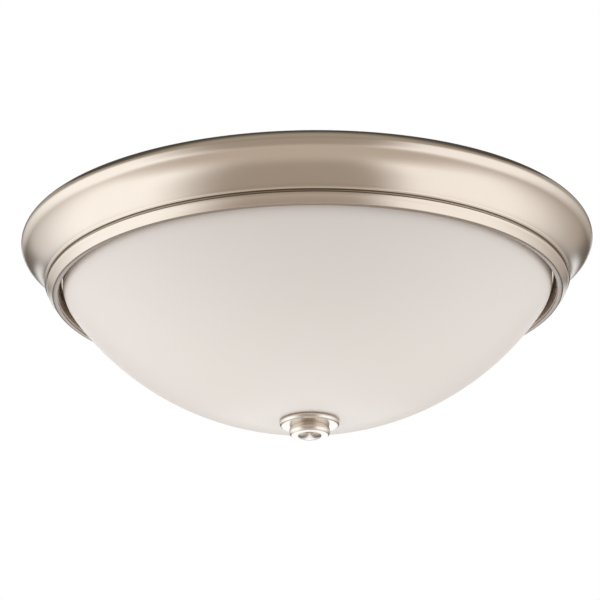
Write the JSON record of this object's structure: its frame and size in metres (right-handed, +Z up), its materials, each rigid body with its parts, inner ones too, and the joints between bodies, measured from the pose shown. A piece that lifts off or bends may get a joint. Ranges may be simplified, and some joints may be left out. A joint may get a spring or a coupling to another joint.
{
  "type": "flush mount ceiling light",
  "caption": "Round flush mount ceiling light: a stepped satin nickel pan holds a shallow white opal glass bowl with a turned centre finial.",
  "frame": {"origin": "centre of the ceiling plane, on the upper face of the crossbar and of the pan's rim flange, at the middle of the two box screw slots", "axes": "+Z up into the ceiling along the light's axis of symmetry, X along the crossbar, Y along the lamps"},
  "size_m": [0.381, 0.381, 0.1403],
  "materials": {
    "satin_nickel": "satin brushed nickel plating",
    "opal_glass": "white opal glass, satin etched",
    "rubber": "matt",
    "zinc_steel": "zinc plated",
    "green_steel": "green plated",
    "copper": "bare drawn copper",
    "mineral_wool": "loose fibre mat",
    "bushing_plastic": "moulded nylon",
    "black_wire": "extruded insulation",
    "white_wire": "extruded insulation",
    "connector_plastic": "moulded thermoplastic",
    "porcelain": "glazed porcelain",
    "brass": "stamped brass",
    "aluminium": "drawn aluminium",
    "lamp_glass": "frosted lamp glass",
    "black_glass": "vitrified glass insulator",
    "clear_glass": "clear pressed glass",
    "tungsten": "drawn wire"
  },
  "bodies": {
    "root": {"pan": "satin_nickel", "centre_rod": "zinc_steel", "rod_lock_washers": "zinc_steel", "rod_nuts": "zinc_steel", "crossbar": "zinc_steel", "pan_screws": "zinc_steel", "ground_screws": "green_steel", "ground_wire": "copper", "insulation_pad": "mineral_wool", "lead_bushings": "bushing_plastic", "lead_black_1": "black_wire", "lead_black_2": "black_wire", "lead_white_1": "white_wire", "lead_white_2": "white_wire", "connector_black": "connector_plastic", "connector_white": "connector_plastic", "holder_screws": "zinc_steel", "bracket_rivets": "aluminium", "holder_1_body": "porcelain", "holder_1_screw_shell": "brass", "holder_1_contact": "brass", "holder_1_bracket": "zinc_steel", "holder_2_body": "porcelain", "holder_2_screw_shell": "brass", "holder_2_contact": "brass", "holder_2_bracket": "zinc_steel"},
    "bowl": {"glass_bowl": "opal_glass", "rubber_washer": "rubber", "steel_washer": "zinc_steel", "finial_cap": "satin_nickel"},
    "finial": {"finial_knob": "satin_nickel"},
    "lamp_1": {"lamp_1_globe": "lamp_glass", "lamp_1_screw_cap": "aluminium", "lamp_1_insulator": "black_glass", "lamp_1_contact": "brass", "lamp_1_stem": "clear_glass", "lamp_1_filament": "tungsten"},
    "lamp_2": {"lamp_2_globe": "lamp_glass", "lamp_2_screw_cap": "aluminium", "lamp_2_insulator": "black_glass", "lamp_2_contact": "brass", "lamp_2_stem": "clear_glass", "lamp_2_filament": "tungsten"}
  },
  "joints": [
    {"name": "bowl_drop", "type": "slide", "parent": "root", "child": "bowl", "axis": [0, 0, -1], "range_m": [0, 0.12]},
    {"name": "finial_turn", "type": "hinge", "parent": "bowl", "child": "finial", "pos_m": [0, 0, -0.135], "axis": [0, 0, 1], "continuous": true},
    {"name": "lamp_1_turn", "type": "hinge", "parent": "root", "child": "lamp_1", "pos_m": [0, 0.105, -0.045], "axis": [0, 1, 0], "continuous": true},
    {"name": "lamp_2_turn", "type": "hinge", "parent": "root", "child": "lamp_2", "pos_m": [0, -0.105, -0.045], "axis": [0, -1, 0], "continuous": true}
  ]
}
